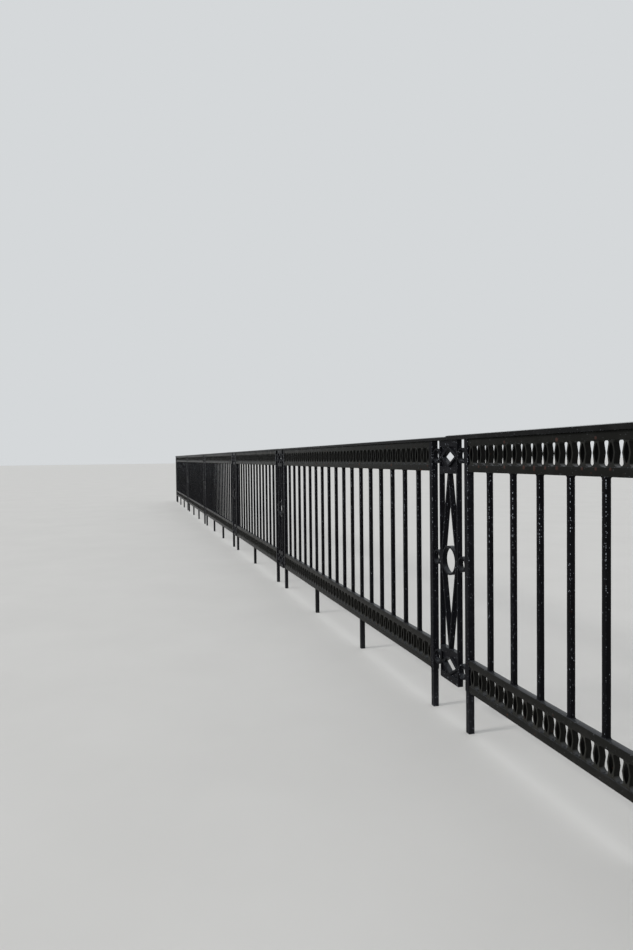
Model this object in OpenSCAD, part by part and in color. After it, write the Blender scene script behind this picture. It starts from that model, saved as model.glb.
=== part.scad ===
// A straight run of iron terrace railing: six bays between seven openwork pilasters.
// Millimetres, +Z up. The run lies along X and its terrace face looks to -Y.
// The origin is the flat foot of one post; bays and pilasters count from the +X end.

/* [Run] */
// centre to centre of the balusters
baluster_pitch = 140; // [120:1:170]
// baluster spaces in each wide bay (two legs, at its thirds)
wide_bay_spaces = 18; // [12:6:24]
// baluster spaces in the third, narrower bay (one leg, at its middle)
narrow_bay_spaces = 14; // [8:2:18]
// ovals in each band of a wide bay (the narrow bay takes as many as keep the same pitch)
wide_bay_ovals = 47; // [42:1:50]

/* [Heights] */
// stone to the top of the handrail
overall_h = 1074; // [950:1:1200]
// how much higher the handrail of the bay at the +X end stands
end_bay_rise = 4; // [0:1:8]
// stone to the underside of the lower band
clear_below = 152; // [100:1:220]
// clear height between the two bars of a band, which the ovals fill
oval_gap_h = 68; // [50:1:90]
// height of each bar of the frieze
frieze_bar_h = 25; // [16:1:30]
// height of each bar of the lower band
low_bar_h = 24; // [16:1:30]

/* [Sections] */
// side of the square posts of a pilaster
post_side = 25; // [22:1:32]
// side of the square legs under the lower band, and of the posts' own feet
leg_side = 22; // [16:1:25]
// side of the square balusters
baluster_side = 16.5; // [11:0.5:20]
// front to back of the stiles, lozenges and rings
flat_depth = 20; // [14:1:22]
// front to back of the two bars of a band
band_bar_depth = 22; // [14:1:24]
// width of the handrail
handrail_w = 40; // [30:1:60]
// height of the handrail
handrail_h = 14; // [12:1:30]

/* [Ovals] */
// width of an oval, outside
oval_w = 29; // [24:1:32]
// wall of an oval
oval_wall = 5.5; // [4:0.5:7]
// outer radius of an oval's ends
oval_end_r = 8; // [7:0.5:11]
// front to back of an oval
oval_depth = 18; // [14:1:22]
// height of the spread foot on which each oval stands
oval_foot_h = 6; // [0:1:10]
// radius of the hollow fillets that join an oval to the bar above it
top_fillet_r = 5; // [3:0.5:8]
// radius of the hollow fillets at each side of that foot
foot_fillet_r = 12; // [5:0.5:12.5]
// from the middle of a post to where the row of ovals begins
row_margin = 6; // [0:1:12]

/* [Pilasters] */
// centre to centre of a pilaster's two posts
pilaster_pitch = 280; // [240:1:340]
// centre to centre of its two inner stiles
stile_pitch = 134; // [110:1:150]
// thickness of the stiles
stile_t = 8; // [5:1:10]
// thickness of the long lozenge's arms
arm_t = 8; // [5:1:10]
// thickness of the rings
ring_t = 6.5; // [4:0.5:8]
// thickness of the diamonds
diamond_t = 8; // [5:1:10]
// how far a pilaster's squares reach below the bands
square_drop = 8; // [0:1:14]
// thickness of the recessed web round each diamond
web_t = 6; // [4:1:10]

/* [Hidden] */
$fn = 64;
iron = [0.13, 0.13, 0.14];
worn = [0.17, 0.17, 0.18];
wide = wide_bay_spaces * baluster_pitch;
narrow = narrow_bay_spaces * baluster_pitch;
frieze_top = overall_h - handrail_h;
frieze_h = oval_gap_h + 2 * frieze_bar_h;
low_band_h = oval_gap_h + 2 * low_bar_h;
frieze_z = frieze_top - frieze_h;
low_top = clear_below + low_band_h;
mid_z = (low_top + frieze_z) / 2;
half_mid = (frieze_z - low_top) / 2;
oval_pitch = wide / wide_bay_ovals;
// p1 to p7 are the X of each pilaster's -X post; its other post is one pilaster pitch on
p4 = 0;
p3 = p4 + pilaster_pitch + narrow;
p2 = p3 + pilaster_pitch + wide;
p1 = p2 + pilaster_pitch + wide;
p5 = p4 - pilaster_pitch - wide;
p6 = p5 - pilaster_pitch - wide;
p7 = p6 - pilaster_pitch - wide;
// handrail lengths meet over the middle of each pilaster, and run past the end posts
half_pil = pilaster_pitch / 2;
run_end = post_side / 2 + 6;

// a box between two heights, centred front to back
module slab(x0, x1, depth, z0, z1) {
  translate([x0, -depth / 2, z0])
    cube([x1 - x0, depth, z1 - z0]);
}

// a flat shape drawn in X and Z, given its depth front to back
module upright(depth) {
  translate([0, depth / 2, 0])
    rotate([90, 0, 0])
      linear_extrude(depth)
        children();
}

// radius of the long sides of an oval of width w and height h whose ends have radius r
function side_radius(w, h, r) = (w * w / 4 + (h / 2 - r) * (h / 2 - r) - r * r) / (w - 2 * r);

// an upright oval of four arcs, each tangent to the next
module oval_shape(w, h, r) {
  reach = h / 2 - r;
  side_r = side_radius(w, h, r);
  meet = reach * side_r / (side_r - r);
  intersection() {
    translate([side_r - w / 2, 0])
      circle(side_r, $fn = 360);
    translate([w / 2 - side_r, 0])
      circle(side_r, $fn = 360);
    square([w, 2 * meet], center = true);
  }
  translate([0, reach])
    circle(r);
  translate([0, -reach])
    circle(r);
}

// the spread upper end of an oval of height h, up to a bar whose face is bar_z above its middle:
// hollow fillets of radius r on both sides, which cross 0.4 mm into the bar and 0.2 mm into the
// oval, where true ones only touch
module spread_end(h, r, bar_z) {
  side_r = side_radius(oval_w, h, oval_end_r);
  fillet_z = bar_z + 0.4 - r;
  away = side_r + r - 0.2;
  fillet_x = oval_w / 2 - side_r + sqrt(away * away - fillet_z * fillet_z);
  fillet_low = fillet_z * side_r / (side_r + r);
  difference() {
    translate([-fillet_x, fillet_low])
      square([2 * fillet_x, bar_z + 0.8 - fillet_low]);
    for (side = [-1, 1])
      translate([side * fillet_x, fillet_z])
        circle(r);
  }
}

// one oval ring on its spread foot, bedded 0.8 mm into the bars above and below
module oval_ring() {
  h = oval_gap_h - oval_foot_h + 1.6;
  translate([0, oval_foot_h / 2])
    difference() {
      union() {
        oval_shape(oval_w, h, oval_end_r);
        spread_end(h, top_fillet_r, (oval_gap_h - oval_foot_h) / 2);
        mirror([0, 1])
          spread_end(h, foot_fillet_r, (oval_gap_h + oval_foot_h) / 2);
      }
      oval_shape(oval_w - 2 * oval_wall, h - 2 * oval_wall, oval_end_r - oval_wall);
    }
}

// two bars with a row of ovals between them, from one post's face to the next
module oval_band(x0, length, z0, bar_h) {
  band_h = oval_gap_h + 2 * bar_h;
  count = round(length / oval_pitch);
  step = (length - 2 * row_margin) / count;
  from = x0 + post_side / 2;
  to = x0 + length - post_side / 2;
  slab(from, to, band_bar_depth, z0, z0 + bar_h);
  slab(from, to, band_bar_depth, z0 + band_h - bar_h, z0 + band_h);
  intersection() {
    slab(from, to, 2 * flat_depth, z0, z0 + band_h);
    for (i = [1:count])
      translate([x0 + row_margin + (i - 0.5) * step, 0, z0 + band_h / 2])
        upright(oval_depth)
          oval_ring();
  }
}

// the square balusters of one bay, and the legs that carry the band to the stone
module balusters(x0, spaces) {
  for (i = [1:spaces - 1])
    slab(x0 + i * baluster_pitch - baluster_side / 2, x0 + i * baluster_pitch + baluster_side / 2,
         baluster_side, low_top, frieze_z);
  legs = spaces == wide_bay_spaces ? 3 : 2;
  for (i = [1:legs - 1])
    slab(x0 + i * spaces / legs * baluster_pitch - leg_side / 2,
         x0 + i * spaces / legs * baluster_pitch + leg_side / 2, leg_side, 0, clear_below);
}

// the handrail's section: flat below, gently rounded above
module handrail_shape(h) {
  crown_r = 1.8 * handrail_w;
  intersection() {
    translate([-handrail_w / 2, 0])
      square([handrail_w, h]);
    translate([0, h - crown_r])
      circle(crown_r, $fn = 180);
  }
}

// a length of handrail between two X positions
module handrail(x0, x1, h = handrail_h) {
  translate([x0, 0, frieze_top])
    rotate([90, 0, 90])
      linear_extrude(x1 - x0)
        handrail_shape(h);
}

// the pair of posts of a pilaster, from the stone to the handrail, thinner below the bands
module posts(x) {
  for (at = [x, x + pilaster_pitch]) {
    slab(at - leg_side / 2, at + leg_side / 2, leg_side, 0, clear_below);
    slab(at - post_side / 2, at + post_side / 2, post_side, clear_below - 1, frieze_top);
  }
}

// a rhombus with half diagonals a and b
module rhombus(a, b) {
  polygon([[a, 0], [0, b], [-a, 0], [0, -b]]);
}

// how much smaller a rhombus is when its sides move in by t
function shrunk(a, b, t) = 1 - t * sqrt(a * a + b * b) / (a * b);

// a rhombus drawn with a wall of thickness t inside its outline
module rhombus_ring(a, b, t) {
  difference() {
    rhombus(a, b);
    rhombus(a * shrunk(a, b, t), b * shrunk(a, b, t));
  }
}

// the square at the level of a band: two bars, a diamond, and a web closing its corners
module diamond_square(z0, bar_h) {
  inner = stile_pitch / 2 - stile_t / 2;
  half_h = (oval_gap_h + square_drop) / 2;
  square_h = 2 * (half_h + bar_h);
  a = inner + 1.5;
  b = half_h + 1.5;
  slab(-inner - 1, inner + 1, flat_depth, z0, z0 + bar_h);
  slab(-inner - 1, inner + 1, flat_depth, z0 + square_h - bar_h, z0 + square_h);
  translate([0, 0, z0 + square_h / 2]) {
    upright(flat_depth)
      intersection() {
        rhombus_ring(a, b, diamond_t);
        square([2 * inner + 2, 2 * half_h + 2], center = true);
      }
    upright(web_t)
      difference() {
        square([2 * inner + 2, 2 * half_h + 2], center = true);
        rhombus(a * shrunk(a, b, diamond_t / 2), b * shrunk(a, b, diamond_t / 2));
      }
  }
}

// the openwork between a pilaster's posts: stiles, squares, lozenge and rings
module pilaster_panel(x) {
  half = stile_pitch / 2;
  inner = half - stile_t / 2;
  outer = half + stile_t / 2;
  post_face = pilaster_pitch / 2 - post_side / 2;
  // the clip rings just reach the posts and bed 0.6 mm into the stiles
  clip_r = (post_face - outer + 0.6) / 2;
  clip_x = post_face - clip_r;
  tip = half_mid + 12;
  foot = clear_below - square_drop;
  arm_a = inner + 1;
  arm_reach = arm_a * tip / sqrt(arm_a * arm_a + tip * tip) - arm_t;
  translate([x + pilaster_pitch / 2, 0, 0]) {
    for (side = [-1, 1])
      slab(side * half - stile_t / 2, side * half + stile_t / 2, flat_depth, foot, frieze_top);
    diamond_square(foot, low_bar_h);
    diamond_square(frieze_z - square_drop, frieze_bar_h);
    translate([0, 0, mid_z]) {
      upright(flat_depth)
        intersection() {
          rhombus_ring(arm_a, tip, arm_t);
          square([2 * arm_a, 2 * half_mid + 2], center = true);
        }
      upright(flat_depth)
        difference() {
          circle(arm_reach + 0.5, $fn = 96);
          circle(arm_reach + 0.5 - ring_t, $fn = 96);
        }
    }
    for (side = [-1, 1])
      for (z = [clear_below + low_band_h / 2, mid_z, frieze_z + frieze_h / 2])
        translate([side * clip_x, 0, z])
          upright(flat_depth)
            difference() {
              circle(clip_r);
              circle(clip_r - ring_t);
            }
  }
}

module handrail_1() {
  color(worn)
    handrail(p2 + half_pil, p1 + pilaster_pitch + run_end, handrail_h + end_bay_rise);
}

module handrail_2() {
  color(worn)
    handrail(p3 + half_pil, p2 + half_pil);
}

module handrail_3() {
  color(worn)
    handrail(p4 + half_pil, p3 + half_pil);
}

module handrail_4() {
  color(worn)
    handrail(p5 + half_pil, p4 + half_pil);
}

module handrail_5() {
  color(worn)
    handrail(p6 + half_pil, p5 + half_pil);
}

module handrail_6() {
  color(worn)
    handrail(p7 - run_end, p6 + half_pil);
}

module frieze_1() {
  color(iron)
    oval_band(p2 + pilaster_pitch, wide, frieze_z, frieze_bar_h);
}

module frieze_2() {
  color(iron)
    oval_band(p3 + pilaster_pitch, wide, frieze_z, frieze_bar_h);
}

module frieze_3() {
  color(iron)
    oval_band(p4 + pilaster_pitch, narrow, frieze_z, frieze_bar_h);
}

module frieze_4() {
  color(iron)
    oval_band(p5 + pilaster_pitch, wide, frieze_z, frieze_bar_h);
}

module frieze_5() {
  color(iron)
    oval_band(p6 + pilaster_pitch, wide, frieze_z, frieze_bar_h);
}

module frieze_6() {
  color(iron)
    oval_band(p7 + pilaster_pitch, wide, frieze_z, frieze_bar_h);
}

module balusters_1() {
  color(iron)
    balusters(p2 + pilaster_pitch, wide_bay_spaces);
}

module balusters_2() {
  color(iron)
    balusters(p3 + pilaster_pitch, wide_bay_spaces);
}

module balusters_3() {
  color(iron)
    balusters(p4 + pilaster_pitch, narrow_bay_spaces);
}

module balusters_4() {
  color(iron)
    balusters(p5 + pilaster_pitch, wide_bay_spaces);
}

module balusters_5() {
  color(iron)
    balusters(p6 + pilaster_pitch, wide_bay_spaces);
}

module balusters_6() {
  color(iron)
    balusters(p7 + pilaster_pitch, wide_bay_spaces);
}

module lower_band_1() {
  color(iron)
    oval_band(p2 + pilaster_pitch, wide, clear_below, low_bar_h);
}

module lower_band_2() {
  color(iron)
    oval_band(p3 + pilaster_pitch, wide, clear_below, low_bar_h);
}

module lower_band_3() {
  color(iron)
    oval_band(p4 + pilaster_pitch, narrow, clear_below, low_bar_h);
}

module lower_band_4() {
  color(iron)
    oval_band(p5 + pilaster_pitch, wide, clear_below, low_bar_h);
}

module lower_band_5() {
  color(iron)
    oval_band(p6 + pilaster_pitch, wide, clear_below, low_bar_h);
}

module lower_band_6() {
  color(iron)
    oval_band(p7 + pilaster_pitch, wide, clear_below, low_bar_h);
}

module posts_1() {
  color(iron)
    posts(p1);
}

module posts_2() {
  color(iron)
    posts(p2);
}

module posts_3() {
  color(iron)
    posts(p3);
}

module posts_4() {
  color(iron)
    posts(p4);
}

module posts_5() {
  color(iron)
    posts(p5);
}

module posts_6() {
  color(iron)
    posts(p6);
}

module posts_7() {
  color(iron)
    posts(p7);
}

module pilaster_panel_1() {
  color(iron)
    pilaster_panel(p1);
}

module pilaster_panel_2() {
  color(iron)
    pilaster_panel(p2);
}

module pilaster_panel_3() {
  color(iron)
    pilaster_panel(p3);
}

module pilaster_panel_4() {
  color(iron)
    pilaster_panel(p4);
}

module pilaster_panel_5() {
  color(iron)
    pilaster_panel(p5);
}

module pilaster_panel_6() {
  color(iron)
    pilaster_panel(p6);
}

module pilaster_panel_7() {
  color(iron)
    pilaster_panel(p7);
}

handrail_1();
handrail_2();
handrail_3();
handrail_4();
handrail_5();
handrail_6();
frieze_1();
frieze_2();
frieze_3();
frieze_4();
frieze_5();
frieze_6();
balusters_1();
balusters_2();
balusters_3();
balusters_4();
balusters_5();
balusters_6();
lower_band_1();
lower_band_2();
lower_band_3();
lower_band_4();
lower_band_5();
lower_band_6();
posts_1();
posts_2();
posts_3();
posts_4();
posts_5();
posts_6();
posts_7();
pilaster_panel_1();
pilaster_panel_2();
pilaster_panel_3();
pilaster_panel_4();
pilaster_panel_5();
pilaster_panel_6();
pilaster_panel_7();
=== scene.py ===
# %% [markdown]
# # A black iron railing, dressed piece by piece
# The solids of the railing come packed, at their true size and place, and nothing here moves them. This lesson
# gives them the soft arrises, the uneven hand-made rows and the thick brushed paint of the real thing. Lengths are
# in metres: X runs along the railing, -Y is its front, Z is up.

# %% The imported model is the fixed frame
import math
import bmesh
import bpy
from mathutils import Matrix, Vector, noise


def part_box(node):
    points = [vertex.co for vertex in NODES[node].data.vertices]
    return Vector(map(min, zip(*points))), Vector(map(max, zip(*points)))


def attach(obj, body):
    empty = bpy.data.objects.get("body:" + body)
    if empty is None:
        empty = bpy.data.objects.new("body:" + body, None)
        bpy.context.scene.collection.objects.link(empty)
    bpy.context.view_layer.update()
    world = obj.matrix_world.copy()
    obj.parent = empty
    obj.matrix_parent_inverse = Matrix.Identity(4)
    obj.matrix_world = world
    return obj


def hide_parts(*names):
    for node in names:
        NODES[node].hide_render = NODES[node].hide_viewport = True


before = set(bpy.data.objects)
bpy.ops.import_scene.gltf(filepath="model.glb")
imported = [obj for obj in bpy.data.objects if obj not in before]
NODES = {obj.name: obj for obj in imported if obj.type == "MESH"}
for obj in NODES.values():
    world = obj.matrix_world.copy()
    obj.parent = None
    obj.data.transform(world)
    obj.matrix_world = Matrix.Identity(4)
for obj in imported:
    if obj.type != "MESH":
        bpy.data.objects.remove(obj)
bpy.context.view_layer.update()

scene = bpy.context.scene

# %% [markdown]
# The sizes that the dressed pieces share with the solids. Most are read from the boxes of the solids, so only what
# a box doesn't tell is written here: the pitches, the gap between the bars of a band, and the shape of one oval.
# `BED` is how deep an oval is let into the bars, and `ROW_MARGIN` is what its row leaves free at each post.

# %% Sizes of the bars and ovals
MM = 0.001
PITCH = 140 * MM
WIDE_SPACES, WIDE_OVALS = 18, 47
OVAL_PITCH = WIDE_SPACES * PITCH / WIDE_OVALS
PILASTER_PITCH = 280 * MM
BALUSTER = 16.5 * MM
ROW_MARGIN = 6 * MM
OVAL_GAP = 68 * MM
OVAL_W = 29 * MM
OVAL_WALL = 5.5 * MM
OVAL_D = 18 * MM
OVAL_END_R = 8 * MM
OVAL_FOOT = 6 * MM
TOP_FILLET_R, FOOT_FILLET_R = 5 * MM, 12 * MM
BED = 0.8 * MM
OVAL_H = OVAL_GAP - OVAL_FOOT + 2 * BED
BAYS = range(1, 7)
posts_low, posts_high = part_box("posts_4")
POST = posts_high.x - posts_low.x - PILASTER_PITCH
legs_low, legs_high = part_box("balusters_1")
LEG = legs_high.y - legs_low.y
LOW_Z, LOW_TOP = (corner.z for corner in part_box("lower_band_1"))
FRIEZE_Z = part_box("frieze_1")[0].z


def bay(i):
    """Where a bay starts, its length, and how many baluster spaces it has, from the solid of its frieze."""
    low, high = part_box(f"frieze_{i}")
    start, length = low.x - POST / 2, high.x - low.x + POST
    return start, length, round(length / PITCH)


for i in BAYS:
    print("bay", i, "starts at %.3f, is %.3f long, has %d spaces" % bay(i))
print("post %.1f mm, leg %.1f mm, lower band %.1f mm high" % (POST / MM, LEG / MM, (LOW_TOP - LOW_Z) / MM))

# %% [markdown]
# ## The camera
# It stands a little in front of the railing at chest height, near its end, and looks along it. A wide lens makes
# the near bay large and draws the far bays together. Three unit vectors are turned by the yaw, the pitch and the
# roll: where the camera looks, its right and its up.

# %% Camera
CAMERA_AT = (7.430, -1.182, 1.0)
YAW, PITCH_DOWN, ROLL = (math.radians(a) for a in (16.245, 1.517, -0.661))
FOCAL_PX, FRAME_H_PX, SENSOR_MM = 660, 950, 36
NEAREST, FARTHEST = 0.05, 400
along, across, up = Vector((-1, 0, 0)), Vector((0, 1, 0)), Vector((0, 0, 1))
level = math.cos(YAW) * along + math.sin(YAW) * across
look = math.cos(PITCH_DOWN) * level - math.sin(PITCH_DOWN) * up
right = math.cos(YAW) * across - math.sin(YAW) * along
rise = math.sin(PITCH_DOWN) * level + math.cos(PITCH_DOWN) * up
cam_right = math.cos(ROLL) * right + math.sin(ROLL) * rise
cam_up = math.cos(ROLL) * rise - math.sin(ROLL) * right
camera = bpy.data.objects.new("camera", bpy.data.cameras.new("camera"))
scene.collection.objects.link(camera)
camera.data.sensor_fit = "VERTICAL"
camera.data.sensor_height = SENSOR_MM
camera.data.lens = FOCAL_PX / FRAME_H_PX * SENSOR_MM
camera.data.clip_start, camera.data.clip_end = NEAREST, FARTHEST
turn = Matrix((cam_right, cam_up, -look)).transposed().to_4x4()
camera.matrix_world = Matrix.Translation(CAMERA_AT) @ turn
scene.camera = camera
print("lens %.2f mm" % camera.data.lens)

# %% [markdown]
# ## Helpers
# `linear` turns the sRGB colours that a painter would pick into the linear numbers that a renderer counts in.
# `add` puts one node into any tree: first its settings, then its inputs, each set to a value or linked. An input
# is named, or counted from 0 where a node gives several the same name. By name, it looks only at sockets that the
# settings left switched on, because a Mix node keeps several sets with the same names.

# %% Helpers for nodes


def linear(hex_colour):
    """An sRGB hex colour as linear red, green, blue and alpha."""
    parts = [int(hex_colour[i:i + 2], 16) / 255 for i in (1, 3, 5)]
    return [c / 12.92 if c <= 0.04045 else ((c + 0.055) / 1.055) ** 2.4 for c in parts] + [1.0]


def add(tree, kind, inputs=None, **settings):
    """Adds a node. An input is given a value, a socket, or a node, whose first output in use is then linked."""
    made = tree.nodes.new(kind)
    for name, value in settings.items():
        setattr(made, name, value)
    for name, value in (inputs or {}).items():
        named = [s for s in made.inputs if s.enabled and s.name == name]
        socket = named[0] if named else made.inputs[name]
        if isinstance(value, bpy.types.Node):
            value = [s for s in value.outputs if s.enabled][0]
        if isinstance(value, bpy.types.NodeSocket):
            tree.links.new(value, socket)
        else:
            socket.default_value = value
    return made


print("the grey #808080 is %.3f in linear light" % linear("#808080")[0])

# %% [markdown]
# ## Old black paint
# The real finish is enamel, brushed on in many coats over wrought iron. It gives the eye a near-black with lumps
# where coats have built up and fine drag lines from the brush. Pale dots along the arrises and scattered pale dots
# are painted glints. Images could carry all that, but patterns on Object coordinates fit bars of any
# length and hold still whichever way the railing is seen. So a paint starts from what it can read at a point:
# cloudy noises, some drawn out along the bar or across it, the height, and which way the face looks.

# %% What a paint can read
# for each cloudy noise: which way it is drawn out, how wide its patches are, its detail and its roughness
CLOUDS = {
    # brush drag is about 1 mm apart on the real bars; 3 mm is about the finest that shows
    "drag": ("along", 3 * MM, 2.0, 0.6),
    # the painted glints on the arrises are 2 mm dots some 10 mm apart; the noise after this one places scattered
    # pale dots, painted glints too
    "glint dots": ("across", 4.5 * MM, 0.0, 0.6),
    "glint specks": ("even", 6 * MM, 1.0, 0.6),
    "lumps": ("even", 9 * MM, 3.0, 0.6),
    "patches": ("even", 80 * MM, 5.0, 0.65),
    "rust": ("even", 26 * MM, 4.0, 0.7),
    "rust tones": ("even", 4 * MM, 3.0, 0.6),
}
# the scale of a noise along the bar, and across it
DRAWN_OUT = {"along": (0.06, 1.0), "across": (1.0, 0.12)}


def readings(tree, run):
    """What a paint can read at a point of a bar that runs along the named axis."""
    place = add(tree, "ShaderNodeTexCoord").outputs["Object"]
    ways = {"even": place}
    for way, (on_run, off_run) in DRAWN_OUT.items():
        scale = [on_run if axis == run else off_run for axis in "XYZ"]
        ways[way] = add(tree, "ShaderNodeMapping", {"Vector": place, "Scale": scale})
    read = {}
    for name, (way, width, detail, rough) in CLOUDS.items():
        read[name] = add(tree, "ShaderNodeTexNoise", {
            "Vector": ways[way], "Scale": 1 / width, "Detail": detail, "Roughness": rough})
    read["height"] = add(tree, "ShaderNodeSeparateXYZ", {"Vector": place}).outputs["Z"]
    # which faces of an oval are marked to take painted shade
    read["hollow"] = add(tree, "ShaderNodeAttribute", attribute_name="hollow").outputs["Fac"]
    facing = add(tree, "ShaderNodeNewGeometry").outputs["Normal"]
    normal = add(tree, "ShaderNodeSeparateXYZ", {"Vector": facing}).outputs
    read["looks up"] = normal["Z"]
    read["looks out"] = add(tree, "ShaderNodeMath", {0: normal["Y"]}, operation="ABSOLUTE")
    read["looks along"] = add(tree, "ShaderNodeMath", {0: normal[run]}, operation="ABSOLUTE")
    return read


print(len(CLOUDS), "cloudy noises, the finest %.1f mm wide" % (min(c[1] for c in CLOUDS.values()) / MM))

# %% [markdown]
# ### From readings to shares
# A ramp turns a reading into a share: it goes smoothly from one share to another while the reading goes from one
# value to another. What needs several things at once is the product of their shares. Chalk gathers in wide
# patches. Rain splashes the ground's dust up the feet. Dust settles on what faces the sky, most of all on the
# lumps, and less deep in the ovals. The painted glints along the arrises grow more frequent higher up.

# %% Ramps that every paint shares
# for each share: the reading, its two values, and the share at each of them
RAMPS = {
    "chalked": ("patches", 0.45, 0.75, 0.0, 1.0),
    "splashed": ("height", 0.0, 0.2, 0.15, 0.0),
    "skyward": ("looks up", 0.3, 0.9, 0.0, 1.0),
    "settled": ("lumps", 0.3, 0.7, 0.35, 0.9),
    "open": ("hollow", 0.0, 1.0, 1.0, 0.0),
    "aired": ("hollow", 0.0, 1.0, 1.0, 0.3),
    # these place the painted glints: dots along the arrises, more of them higher up, and scattered pale dots
    "on a glint dot": ("glint dots", 0.60, 0.67, 0.0, 1.0),
    "higher up": ("height", 0.55, 0.85, 0.1, 1.0),
    "on a glint speck": ("glint specks", 0.71, 0.75, 0.0, 1.0),
    "broken": ("lumps", 0.42, 0.55, 0.0, 1.0),
    "matt": ("patches", 0.35, 0.7, 0.26, 0.42),
}


def work_out(tree, known, ramps, products):
    """Adds to what is known of a point the shares that the ramps give, then the named products of shares."""
    for share, (reading, low, high, at_low, at_high) in ramps.items():
        known[share] = add(tree, "ShaderNodeMapRange", {
            "Value": known[reading], "From Min": low, "From Max": high, "To Min": at_low, "To Max": at_high},
            interpolation_type="SMOOTHSTEP")
    for share, (first, *factors) in products.items():
        known[share] = known[first]
        for factor in factors:
            known[share] = add(tree, "ShaderNodeMath", {0: known[share], 1: known.get(factor, factor)},
                               operation="MULTIPLY")


print(len(RAMPS), "ramps")

# %% [markdown]
# ### The coats
# Enamel isn't a metal, so metallic stays 0, with an IOR of 1.5. The pale studio would shine on it far more than a
# shaded place out of doors does, so its specular level is low, and a clear coat lies only on the faces that look
# up. Weather dulls those faces, and rust breaks through here and there. A film of dust on the lower band pales it
# where it is seen at a low angle. The inner faces of each oval, and in part its long outer sides, are painted
# darker as painted shade. The pale dots on the arrises and the scattered pale dots are painted glints. An arris
# turns from a front or back face to a side, so there the face looks part way out, and never along.

# %% The paint
# the last colour here is the pale grey of the painted glints
SPLASH, DUST, PAINTED_GLINT = "#48484a", "#3a3c3f", "#ced4dc"
DEEP_RUST, PALE_RUST = "#4a2a1e", "#8a5238"
RUST_BEGINS, RUST_FULL = 0.72, 0.8
# the first share here is how strong the painted glints of the scattered dots are
SPECK_GLINT_SHARE, DRAG_SHARE = 0.45, 0.35
DUST_ROUGH, RUST_ROUGH, COAT_ROUGH = 0.22, 0.4, 0.12
RELIEF_STRENGTH, RELIEF_HEIGHT = 0.55, 1.2 * MM
IOR = 1.5


def paint(name, colour, chalk, run, rust=0.02, polish=0.3, gloss=(0.3, 0.9, 1.6), dull=0.0, glints=1.0, painted_shade=None,
          film=0.02, arrises=((0.3, 0.6), (0.85, 0.97), (0.1, 0.3))):
    """Brushed enamel on bars that run along the named axis. rust is its share, polish the clear coat on what
    looks up, gloss from what upward lean to what lean that grows and the IOR of the coat, and dull takes gloss
    away. The next two set how strong the painted glints on the arrises and the scattered pale dots are, and the
    colour of the painted shade on the marked faces of an oval. film is how much the paint pales where it is seen
    at a low angle, and arrises the leans where an arris begins, ends, and turns too far."""
    mat = bpy.data.materials.new(name)
    mat.use_nodes = True
    tree = mat.node_tree
    tree.nodes.clear()
    known = readings(tree, run)
    from_lean, to_lean, coat_ior = gloss
    begins, ends, turns = arrises
    ramps = RAMPS | {
        "coatable": ("looks up", from_lean, to_lean, 0.0, 1.0),
        "rust patch": ("rust", RUST_BEGINS - rust, RUST_FULL - rust, 0.0, 1.0),
        "begun": ("looks out", *begins, 0.0, 1.0), "not ended": ("looks out", *ends, 1.0, 0.0),
        "not turned": ("looks along", *turns, 1.0, 0.0)}
    # the dots on the arrises and the scattered pale dots are painted glints, joined into one pale coat
    products = {
        "coated": ("coatable", "open", polish), "dusty": ("skyward", "settled", "aired"),
        "arris glint": ("begun", "not ended", "not turned", "on a glint dot", "higher up", glints),
        "speck glint": ("on a glint speck", SPECK_GLINT_SHARE * glints), "rusted": ("rust patch", "broken")}
    work_out(tree, known, ramps, products)
    known["worn"] = add(tree, "ShaderNodeMath", {0: known["arris glint"], 1: known["speck glint"]}, operation="MAXIMUM")
    # each coat lies over the ones before it, on its own share of the surface
    ochre = add(tree, "ShaderNodeMix", {
        "Factor": known["rust tones"], "A": linear(DEEP_RUST), "B": linear(PALE_RUST)}, data_type="RGBA")
    # the third coat here is a near-black painted shade on the marked faces of an oval, and the fifth is the pale
    # painted glints
    coats = {"chalked": linear(chalk), "splashed": linear(SPLASH), "hollow": linear(painted_shade or colour),
             "dusty": linear(DUST), "worn": linear(PAINTED_GLINT), "rusted": ochre}
    surface = linear(colour)
    for share, coat in coats.items():
        surface = add(tree, "ShaderNodeMix", {"Factor": known[share], "A": surface, "B": coat}, data_type="RGBA")
    rough = known["matt"]
    for share, extra in (("dusty", DUST_ROUGH), ("rusted", RUST_ROUGH)):
        rough = add(tree, "ShaderNodeMath", {0: known[share], 1: extra, 2: rough}, operation="MULTIPLY_ADD")
    rough = add(tree, "ShaderNodeMath", {0: rough, 1: dull}, operation="ADD")
    relief = add(tree, "ShaderNodeMath", {0: known["drag"], 1: DRAG_SHARE, 2: known["lumps"]},
                 operation="MULTIPLY_ADD")
    bump = add(tree, "ShaderNodeBump", {
        "Height": relief, "Strength": RELIEF_STRENGTH, "Distance": RELIEF_HEIGHT})
    shader = add(tree, "ShaderNodeBsdfPrincipled", {
        "Base Color": surface, "Roughness": rough, "Normal": bump, "IOR": IOR, "Metallic": 0.0,
        "Specular IOR Level": film, "Coat Weight": known["coated"], "Coat Roughness": COAT_ROUGH,
        "Coat IOR": coat_ior})
    add(tree, "ShaderNodeOutputMaterial", {"Surface": shader})
    return mat


print("rust from", DEEP_RUST, "to", PALE_RUST, "and chips of", PAINTED_GLINT)

# %% [markdown]
# ### The paints of this railing
# Each slot of the solids gets its own: the handrail is polished by hands and rain, the bars and posts are the
# blackest and carry the most painted glints, and the bands are a little warmer. The ovals, the splashed lower
# band, the legs and the pins, which only the dressed pieces have, come after them. The ovals' enamel is painted
# lighter than the bands' as painted light on their walls, with painted shade on their marked faces.

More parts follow.
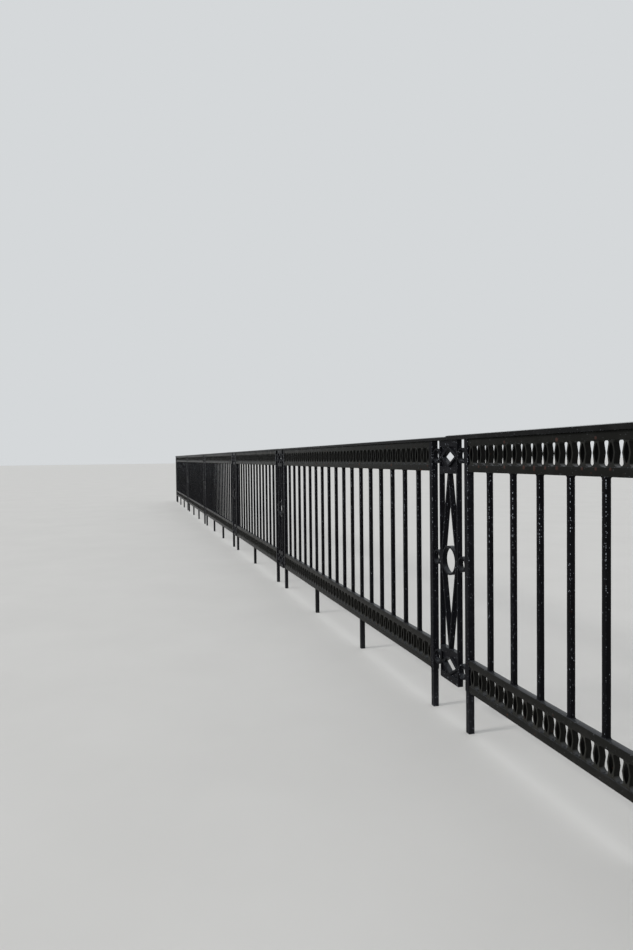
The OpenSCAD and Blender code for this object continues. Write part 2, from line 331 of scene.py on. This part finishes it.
# %% Paints
# a post's arris is wide and flat, so its face leans to each side of where a thinner one does
POST_ARRISES = ((0.15, 0.35), (0.93, 0.985), (0.3, 0.5))
PAINTS = {
    "handrail_paint": paint("handrail gloss enamel", "#1a1a1a", "#242424", "X", polish=1.0, glints=0.2),
    "band_paint": paint("band enamel", "#1d1d1b", "#272725", "X", rust=0.05, glints=0.2),
    "bar_paint": paint("bar enamel", "#111113", "#18181b", "Z", glints=0.85),
    "post_paint": paint("post enamel", "#151518", "#1f1f22", "Z", rust=0.03, glints=0.9, arrises=POST_ARRISES),
}
# a rounded oval starts to catch the sky at a smaller lean than a flat bar
OVAL_GLOSS = (0.1, 0.7, 1.7)
LOW_PAINT = paint("band enamel, splashed", "#1f1f1d", "#2a2927", "X", rust=0.05, glints=0.2, film=0.032)
# the oval enamels are painted lighter than the band enamel, as painted light on the walls of the rings, and the
# near-black colour given last is painted shade
OVAL_PAINT = paint("oval enamel", "#292927", "#33332f", "Z", rust=0.05, polish=0.7, gloss=OVAL_GLOSS, glints=0.0,
                   painted_shade="#0c0c0c")
LOW_OVAL_PAINT = paint("oval enamel, splashed", "#2a2a27", "#353430", "Z", rust=0.05, polish=0.35,
                       gloss=OVAL_GLOSS, glints=0.0, painted_shade="#0b0b0a", film=0.04)
LEG_PAINT = paint("leg enamel, rusting", "#19191a", "#242324", "Z", rust=0.06, dull=0.1, glints=0.2)
PIN_RUST = paint("rusting pin", "#3f2e2a", "#54403a", "Z", rust=-0.1, polish=0.0, dull=0.3, glints=0.0)
print("paints", sorted(PAINTS), "each of", len(OVAL_PAINT.node_tree.nodes), "nodes")

# %% [markdown]
# ## Solids that keep their own mesh
# The handrail, the posts and the openwork of the pilasters already have the right shape. What they lack is the
# rounded arris that paint and wear give to iron, and it is this arris that catches the light. A short stack of
# modifiers rounds them without touching the mesh: join the loose triangles, clear the flat faces of their
# diagonals, then bevel what is still sharp.

# %% Rounding the solids
ARRISES = {"handrail": 1.2 * MM, "posts": 1.6 * MM, "pilaster_panel": 1.1 * MM}
TOUCHING = 0.02 * MM
FLAT, SHARP = math.radians(2), math.radians(35)


def soften(solid, arris):
    """Rounds the sharp edges of a solid with modifiers."""
    weld = solid.modifiers.new("join", "WELD")
    weld.merge_threshold = TOUCHING
    clear = solid.modifiers.new("clear flats", "DECIMATE")
    clear.decimate_type = "DISSOLVE"
    clear.angle_limit = FLAT
    bevel = solid.modifiers.new("arris", "BEVEL")
    bevel.width, bevel.segments = arris, 2
    bevel.limit_method, bevel.angle_limit = "ANGLE", SHARP
    bevel.use_clamp_overlap = True


for node, solid in NODES.items():
    paint_slot = solid.data.materials[0].name.split(".")[0]
    for s in solid.material_slots:
        s.material = PAINTS[paint_slot]
    kind = node.rsplit("_", 1)[0]
    if kind in ARRISES:
        soften(solid, ARRISES[kind])
print("rounded solids", sum(bool(solid.modifiers) for solid in NODES.values()))

# %% [markdown]
# ## The sections of iron bar
# A square or flat bar is a rectangle with its corners rounded by an arris, drawn along a line. `sweep` draws any
# outline through a list of frames, each with a point and two directions. A curve with a bevel could do it too,
# but frames let the section grow and drift on the way.

# %% Sweeping a section


def outline(width, depth, arris):
    """A rectangle's outline with rounded corners, three points a corner, as pairs."""
    points = []
    for sx, sy, first in ((1, 1, 0), (-1, 1, 90), (-1, -1, 180), (1, -1, 270)):
        for turned in (0, 45, 90):
            a = math.radians(first + turned)
            points.append((sx * (width / 2 - arris) + arris * math.cos(a),
                           sy * (depth / 2 - arris) + arris * math.sin(a)))
    return points


def sweep(bm, frames):
    """Draws a skin through frames of (point, side, front, outline), and closes its two ends."""
    rings = []
    for point, side, front, shape in frames:
        rings.append([bm.verts.new(point + u * side + v * front) for u, v in shape])
    for one, two in zip(rings, rings[1:]):
        n = len(one)
        for k in range(n):
            bm.faces.new((one[k], one[(k + 1) % n], two[(k + 1) % n], two[k]))
    bm.faces.new(list(reversed(rings[0])))
    bm.faces.new(rings[-1])


print("a bar's outline has", len(outline(POST, POST, MM)), "points")

# %% [markdown]
# Hand-drawn iron is never quite straight, so each frame wanders by a fraction of a millimetre. The drift is read
# from a noise, at a place of its own for each axis, so that it is the same each run.

# %% Bars that wander
DRIFT_RATE, SEED_APART = 9, 3.7
DRIFT_PLACES = Vector((0, 0, 0)), Vector((31, 7, 3)), Vector((5, 41, 13))
BAR_DRIFT, BAR_STEP = 0.4 * MM, 40 * MM
SMOOTH_BELOW = math.radians(50)


def wander(point, amount, seed):
    """A small steady drift, the same each run."""
    p = Vector((point.x * DRIFT_RATE, point.y * DRIFT_RATE + seed * SEED_APART, point.z * DRIFT_RATE))
    return Vector([noise.noise(p + place) for place in DRIFT_PLACES]) * amount


def bar(bm, start, end, height, depth, arris, seed):
    """A level bar with a slightly uneven skin."""
    start, end = Vector(start), Vector(end)
    count = max(2, round((end - start).length / BAR_STEP))
    shape = outline(height, depth, arris)
    frames = []
    for k in range(count + 1):
        point = start.lerp(end, k / count)
        drift = wander(point, BAR_DRIFT, seed)
        drift -= drift.project(end - start)
        frames.append((point + drift, up, across, shape))
    sweep(bm, frames)


def as_mesh(bm, name):
    """Turns the working mesh into a mesh with outward faces, shaded smooth but for its sharp edges."""
    bmesh.ops.recalc_face_normals(bm, faces=bm.faces[:])
    mesh = bpy.data.meshes.new(name)
    bm.to_mesh(mesh)
    bm.free()
    mesh.shade_smooth()
    mesh.set_sharp_from_angle(angle=SMOOTH_BELOW)
    return mesh


for x in (0.25, 0.5, 0.75):
    print("at X %.2f a bar drifts by %.2f mm" % (x, wander(Vector((x, 0, 0)), BAR_DRIFT, 1).length / MM))

# %% [markdown]
# ## Rows that Geometry Nodes repeat
# Ovals, balusters and legs stand in rows at an even pitch. One tree grows any such row: a line of points, the host
# mesh set on each, a small random turn and stretch so that no two are quite alike, then real geometry and a
# material. Its inputs are named, and the seed is fixed, so the row comes out the same each run.

# %% The row tree
ROW_INPUTS = (("Geometry", "NodeSocketGeometry"), ("Count", "NodeSocketInt"), ("First", "NodeSocketVector"),
              ("Pitch", "NodeSocketFloat"), ("Lean", "NodeSocketFloat"), ("Stretch", "NodeSocketFloat"),
              ("Share", "NodeSocketFloat"), ("Seed", "NodeSocketInt"), ("Material", "NodeSocketMaterial"))


def row_tree():
    """Points at an even pitch, the host mesh on each, a little random turn and stretch, made real."""
    tree = bpy.data.node_groups.new("row along a bay", "GeometryNodeTree")
    for name, kind in ROW_INPUTS:
        tree.interface.new_socket(name, in_out="INPUT", socket_type=kind)
    tree.interface.new_socket("Geometry", in_out="OUTPUT", socket_type="NodeSocketGeometry")
    given = add(tree, "NodeGroupInput").outputs
    step = add(tree, "ShaderNodeCombineXYZ", {"X": given["Pitch"]})
    line = add(tree, "GeometryNodeMeshLine", {
        "Count": given["Count"], "Start Location": given["First"], "Offset": step}, mode="OFFSET")
    other_way = add(tree, "ShaderNodeMath", {0: given["Lean"], 1: -1.0}, operation="MULTIPLY")
    lean = add(tree, "FunctionNodeRandomValue", {
        "Min": add(tree, "ShaderNodeCombineXYZ", dict.fromkeys("XYZ", other_way)),
        "Max": add(tree, "ShaderNodeCombineXYZ", dict.fromkeys("XYZ", given["Lean"])),
        "Seed": given["Seed"]}, data_type="FLOAT_VECTOR")
    size = add(tree, "FunctionNodeRandomValue", {
        "Min": add(tree, "ShaderNodeMath", {0: 1.0, 1: given["Stretch"]}, operation="SUBTRACT"),
        "Max": add(tree, "ShaderNodeMath", {0: 1.0, 1: given["Stretch"]}, operation="ADD"),
        "Seed": given["Seed"]}, data_type="FLOAT")
    chosen = add(tree, "FunctionNodeRandomValue", {"Probability": given["Share"], "Seed": given["Seed"]},
                 data_type="BOOLEAN")
    turned = add(tree, "FunctionNodeEulerToRotation", {"Euler": lean})
    row = add(tree, "GeometryNodeInstanceOnPoints", {
        "Points": line, "Instance": given["Geometry"], "Selection": chosen, "Rotation": turned, "Scale": size})
    real = add(tree, "GeometryNodeRealizeInstances", {"Geometry": row})
    dressed = add(tree, "GeometryNodeSetMaterial", {"Geometry": real, "Material": given["Material"]})
    add(tree, "NodeGroupOutput", {"Geometry": dressed})
    return tree


ROW = row_tree()
print("row tree", len(ROW.nodes), "nodes")

# %% [markdown]
# `grow` runs the tree on a host that it makes and throws away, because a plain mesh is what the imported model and
# its export can carry. `piece_of` then joins such meshes into one object that stands for a solid.

# %% Growing a row and joining a piece


def grow(mesh, material, count, first, pitch, seed, lean=0.0, stretch=0.0, share=1.0):
    """Runs the row tree on a host mesh and returns the row as a plain mesh."""
    host = bpy.data.objects.new("host", mesh)
    scene.collection.objects.link(host)
    modifier = host.modifiers.new("row", "NODES")
    modifier.node_group = ROW
    values = {"Count": count, "First": first, "Pitch": pitch, "Lean": math.radians(lean), "Stretch": stretch,
              "Share": share, "Seed": seed, "Material": material}
    for item in ROW.interface.items_tree:
        if item.in_out == "INPUT" and item.name in values:
            modifier[item.identifier] = values[item.name]
    graph = bpy.context.evaluated_depsgraph_get()
    grown = host.evaluated_get(graph)
    row = bpy.data.meshes.new_from_object(grown, preserve_all_data_layers=True, depsgraph=graph)
    host.modifiers.remove(modifier)
    bpy.data.objects.remove(host)
    return row


def piece_of(name, slot, parts, *replaced):
    """Joins pairs of a mesh and its material into one piece that stands for the named solids."""
    bm = bmesh.new()
    joined = bpy.data.meshes.new(name)
    for mesh, material in parts:
        first = len(bm.faces)
        bm.from_mesh(mesh)
        bm.faces.ensure_lookup_table()
        if material.name not in joined.materials:
            joined.materials.append(material)
        for face in bm.faces[first:]:
            face.material_index = joined.materials.find(material.name)
    bm.to_mesh(joined)
    bm.free()
    made = bpy.data.objects.new(name, joined)
    scene.collection.objects.link(made)
    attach(made, "root")
    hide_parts(*replaced)
    return made


print("inputs of a row:", ", ".join(name for name, kind in ROW_INPUTS))

# %% [markdown]
# ## One oval
# Each oval is a ring of iron, cast in one with the spread foot that it stands on and the small fillets that join
# it to the bar above. It could be cut from a plate with booleans, but its outer and inner edge are arcs, so their
# points can be worked out: one upper and one lower quarter, then mirrored to the other side. A wall is swept
# between the two edges. It has few faces, because the shape is set many hundred times. Its curved faces are
# shaded smooth, and its four long edges stay crisp.

# %% The edges of an oval
FILLET_STEPS = 3
INNER_TURNS = (5, 40, 75)
INNER_HEIGHT = 0.6


def side_radius(width, reach, end_r):
    """Radius of the long sides of an oval of four arcs, whose ends are centred reach from its middle."""
    return (width ** 2 / 4 + reach ** 2 - end_r ** 2) / (width - 2 * end_r)


def on_side(width, radius, height):
    """Half the width of the oval at some height, along its long side arc."""
    return math.sqrt(radius ** 2 - height ** 2) - radius + width / 2


def quarter(fillet_r, bar_z):
    """Outer and inner edge of the upper right quarter, as pairs of points, from the middle up to a bar."""
    reach, small_r = OVAL_H / 2 - OVAL_END_R, OVAL_END_R - OVAL_WALL
    outer_r = side_radius(OVAL_W, reach, OVAL_END_R)
    inner_w = OVAL_W - 2 * OVAL_WALL
    inner_r = side_radius(inner_w, reach, small_r)
    # the fillet touches the bar and the oval's side
    fillet_z = bar_z - fillet_r
    fillet_x = OVAL_W / 2 - outer_r + math.sqrt((outer_r + fillet_r) ** 2 - fillet_z ** 2)
    touch = -math.degrees(math.asin(fillet_z / (outer_r + fillet_r)))
    outer, inner = [(OVAL_W / 2, 0.0)], [(inner_w / 2, 0.0)]
    for k in range(FILLET_STEPS + 1):
        a = math.radians(touch + (90 - touch) * k / FILLET_STEPS)
        outer.append((fillet_x - fillet_r * math.cos(a), fillet_z + fillet_r * math.sin(a)))
    outer[-1] = (fillet_x, bar_z + BED)
    inner.append((on_side(inner_w, inner_r, INNER_HEIGHT * reach), INNER_HEIGHT * reach))
    for turned in INNER_TURNS:
        a = math.radians(turned)
        inner.append((small_r * math.cos(a), reach + small_r * math.sin(a)))
    return list(zip(outer, inner))


def whole(upper, lower):
    """All four quarters, from the lower right round to the lower left."""
    right_half = [((o[0], -o[1]), (i[0], -i[1])) for o, i in reversed(lower[1:])] + upper
    left_half = [((-o[0], o[1]), (-i[0], i[1])) for o, i in reversed(right_half)]
    return right_half + left_half


upper, lower = (OVAL_GAP - OVAL_FOOT) / 2, (OVAL_GAP + OVAL_FOOT) / 2
edges = whole(quarter(TOP_FILLET_R, upper), quarter(FOOT_FILLET_R, lower))
print("an oval's edges have", len(edges), "points each")

# %% [markdown]
# The inner faces of the wall carry a number that the paint reads, and it paints them darker as painted shade. They
# count in full, and the long outer sides in part, since little light falls between two ovals.

# %% The oval
# the share of painted shade on the long outer sides between ovals
SIDE_SHADE, STEEP = 0.6, 2


def wall(bm, pairs, depth):
    """A closed wall of some depth between an outer and an inner edge."""
    hollow = bm.faces.layers.float.new("hollow")
    rings = []
    for (ox, oz), (ix, iz) in pairs:
        corners = ((ox, -depth / 2, oz), (ix, -depth / 2, iz), (ix, depth / 2, iz), (ox, depth / 2, oz))
        rings.append([bm.verts.new(corner) for corner in corners])
    for one, two in zip(rings, rings[1:] + rings[:1]):
        drop = two[0].co - one[0].co
        is_long_side = abs(drop.z) > STEEP * abs(drop.x)
        # each face's share of painted shade: full on the inner face of the ring, in part on a long outer side
        for k, shade_share in enumerate((0.0, 1.0, 0.0, SIDE_SHADE if is_long_side else 0.0)):
            face = bm.faces.new((one[k], one[(k + 1) % 4], two[(k + 1) % 4], two[k]))
            face[hollow] = shade_share


bm = bmesh.new()
wall(bm, edges, OVAL_D)
oval = as_mesh(bm, "oval")
print("oval", len(oval.polygons), "faces")

# %% [markdown]
# ## The bands
# A band is two flat bars with the row of ovals between them. The bars are long sweeps; the ovals are a grown row.
# In the frieze, the pins that hold some of the ovals have rusted. They show as small brown domes, mostly on the
# lower bar of the bay at the +X end, with a few on its upper bar and in the other bays.

# %% Pins
PIN_RADIUS, PIN_HEIGHT, PIN_SIDES = 6 * MM, 1.8 * MM, 8
# how far each row of pins is from the nearest edge of the frieze, in thicknesses of its bars, and its share
LOWER_PINS, UPPER_PINS = (0.8, 0.5), (0.7, 0.15)
ELSEWHERE = 0.25
# each ring of a dome, as shares of its radius and of its height
DOME_RINGS = ((1.0, 0.0), (0.7, 0.7))


def dome(radius, height, sides):
    """A low round dome that looks to the front: two rings and a crown."""
    work = bmesh.new()
    rings = []
    for share, lift in DOME_RINGS:
        rings.append([work.verts.new((radius * share * math.cos(math.tau * k / sides), -height * lift,
                                      radius * share * math.sin(math.tau * k / sides))) for k in range(sides)])
    crown = work.verts.new((0, -height, 0))
    for k in range(sides):
        n = (k + 1) % sides
        work.faces.new((rings[0][k], rings[0][n], rings[1][n], rings[1][k]))
        work.faces.new((rings[1][k], rings[1][n], crown))
    work.faces.new(rings[0])
    return as_mesh(work, "pin")


pin = dome(PIN_RADIUS, PIN_HEIGHT, PIN_SIDES)
print("pin", len(pin.polygons), "faces")

# %% [markdown]
# A band's sizes come from the box of its solid, so the dressed band fills the same place. Its ovals lean by up to
# half a degree and differ by a few thousandths in size, as castings that were set by hand do.

# %% Bands of ovals
BAND_ARRIS = 1.2 * MM
OVAL_LEAN, OVAL_STRETCH, PIN_STRETCH = 0.5, 0.006, 0.2


def band(node, i):
    """The dressed band of one bay, at the height of its solid."""
    start, length, _ = bay(i)
    low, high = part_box(node)
    thick, deep = (high.z - low.z - OVAL_GAP) / 2, high.y - low.y
    count = round(length / OVAL_PITCH)
    step = (length - 2 * ROW_MARGIN) / count
    bars = bmesh.new()
    for k, z in enumerate((low.z + thick / 2, high.z - thick / 2)):
        bar(bars, (start + POST / 2, 0, z), (start + length - POST / 2, 0, z), thick, deep, BAND_ARRIS, i + k)
    is_frieze = node.startswith("frieze")
    bar_look, oval_look = (PAINTS["band_paint"], OVAL_PAINT) if is_frieze else (LOW_PAINT, LOW_OVAL_PAINT)
    first_x = start + ROW_MARGIN + step / 2
    middle = (first_x, 0, (low.z + high.z + OVAL_FOOT) / 2)
    row = grow(oval, oval_look, count, middle, step, i, lean=OVAL_LEAN, stretch=OVAL_STRETCH)
    parts = [(as_mesh(bars, "bars"), bar_look), (row, oval_look)]
    if is_frieze:
        (low_in, low_share), (high_in, high_share) = LOWER_PINS, UPPER_PINS
        for z, share in ((low.z + low_in * thick, low_share), (high.z - high_in * thick, high_share)):
            share *= 1.0 if i == 1 else ELSEWHERE
            on_face = (first_x, -deep / 2 + BED / 2, z)
            pins = grow(pin, PIN_RUST, count, on_face, step, i, stretch=PIN_STRETCH, share=share)
            parts.append((pins, PIN_RUST))
    return piece_of(node + "_dressed", "band_paint", parts, node)


for i in BAYS:
    for base in ("frieze", "lower_band"):
        made = band(f"{base}_{i}", i)
print("a band has", len(made.data.polygons), "faces")

# %% [markdown]
# ## Balusters and legs
# Each baluster is a slim square bar. Paint has gathered where it meets the bars, so its ends flare a little. One
# baluster is swept, with frames close together at its ends, and the row tree sets it along the bay. Legs are short
# stout bars under the lower band.

# %% Balusters
FLARE, FLARE_HEIGHT = 4.0 * MM, 5 * MM
END_FRAMES = (1.2 * MM, 3.5 * MM, 7 * MM)
UPRIGHT_STEP, UPRIGHT_DRIFT, UPRIGHT_SEED = 45 * MM, 0.35 * MM, 2
# a bar's width, times this, is where its drift is read, so that a baluster and a leg differ
DRIFT_BY_WIDTH = 40
BALUSTER_ARRIS, LEG_ARRIS = 1.7 * MM, 1.8 * MM
BALUSTER_SEED = 40


def upright_bar(side, low, high, arris, flare):
    """A vertical square bar at X 0, whose ends flare into what they meet."""
    work = bmesh.new()
    steps = max(2, round((high - low) / UPRIGHT_STEP))
    heights = [low, high] + [low + (high - low) * k / steps for k in range(1, steps)]
    heights += [low + rise for rise in END_FRAMES] + [high - fall for fall in END_FRAMES]
    frames = []
    for z in sorted(heights):
        near = min(z - low, high - z)
        grown = side + flare * max(0.0, 1 - near / FLARE_HEIGHT) ** 2
        drift = wander(Vector((side * DRIFT_BY_WIDTH, 0, z)), UPRIGHT_DRIFT, UPRIGHT_SEED)
        drift.z = 0
        frames.append((Vector((0, 0, z)) + drift, -across.cross(up), across, outline(grown, grown, arris)))
    sweep(work, frames)
    return as_mesh(work, "upright")


baluster = upright_bar(BALUSTER, LOW_TOP, FRIEZE_Z, BALUSTER_ARRIS, FLARE)
leg = upright_bar(LEG, 0.0, LOW_Z, LEG_ARRIS, 0.0)
for i in BAYS:
    start, length, spaces = bay(i)
    black = PAINTS["bar_paint"]
    rows = [(grow(baluster, black, spaces - 1, (start + PITCH, 0, 0), PITCH, BALUSTER_SEED + i), black)]
    legs = 2 if spaces == WIDE_SPACES else 1
    apart = length / (legs + 1)
    rows.append((grow(leg, LEG_PAINT, legs, (start + apart, 0, 0), apart, i), LEG_PAINT))
    made = piece_of(f"balusters_{i}_dressed", "bar_paint", rows, f"balusters_{i}")
print("balusters of a bay", len(made.data.polygons), "faces")

# %% [markdown]
# ## Floor
# The floor is a plain pale sheet, large enough to reach past the far end of the run. It is a stage piece, so it is
# no part of the railing.

# %% Floor
FLOOR_HALF = 150
FLOOR_CLOUDS = 0.7
floor_mesh = bpy.data.meshes.new("floor")
corners = [(sx * FLOOR_HALF, sy * FLOOR_HALF, 0) for sx, sy in ((-1, -1), (1, -1), (1, 1), (-1, 1))]
floor_mesh.from_pydata(corners, [], [(0, 1, 2, 3)])
floor = bpy.data.objects.new("floor", floor_mesh)
scene.collection.objects.link(floor)
floor_mat = bpy.data.materials.new("pale studio floor")
floor_mat.use_nodes = True
tree = floor_mat.node_tree
tree.nodes.clear()
clouds = add(tree, "ShaderNodeTexNoise", {
    "Vector": add(tree, "ShaderNodeTexCoord").outputs["Object"], "Scale": 1 / FLOOR_CLOUDS, "Detail": 3.0,
    "Roughness": 0.6})
tone = add(tree, "ShaderNodeMix", {"Factor": clouds, "A": linear("#cfcdc8"), "B": linear("#d9d7d2")},
           data_type="RGBA")
matt = add(tree, "ShaderNodeBsdfPrincipled", {"Base Color": tone, "Roughness": 0.85, "IOR": 1.45})
add(tree, "ShaderNodeOutputMaterial", {"Surface": matt})
floor_mesh.materials.append(floor_mat)
print("floor %d m wide" % (2 * FLOOR_HALF))

# %% [markdown]
# ## Lamps and background
# The world gives soft light from all round, and one wide lamp from the front and above gives the arrises something
# to catch. The background that the camera and the gloss see is a plain pale grey, which doesn't add to the light
# on the object.

# %% World and lamp
SUN_WIDTH, SUN_WAY = math.radians(12), Vector((0.0, 1.0, -0.75))
world = bpy.data.worlds.new("studio")
world.use_nodes = True
scene.world = world
tree = world.node_tree
tree.nodes.clear()
rays = add(tree, "ShaderNodeLightPath").outputs
seen = add(tree, "ShaderNodeMath", {0: rays["Is Camera Ray"], 1: rays["Is Glossy Ray"]}, operation="MAXIMUM")
light = add(tree, "ShaderNodeBackground", {"Color": linear("#f2f5fa"), "Strength": 0.8})
shown = add(tree, "ShaderNodeBackground", {"Color": linear("#d5d8da"), "Strength": 1.0})
add(tree, "ShaderNodeOutputWorld", {"Surface": add(tree, "ShaderNodeMixShader", {0: seen, 1: light, 2: shown})})

lamp = bpy.data.objects.new("soft sun", bpy.data.lights.new("soft sun", "SUN"))
lamp.data.energy = 1.0
lamp.data.angle = SUN_WIDTH
lamp.rotation_euler = SUN_WAY.to_track_quat("-Z", "Y").to_euler()
scene.collection.objects.link(lamp)
scene.view_settings.view_transform = "Standard"
print("lamp comes down at %.0f degrees" % math.degrees(math.atan2(-SUN_WAY.z, SUN_WAY.y)))
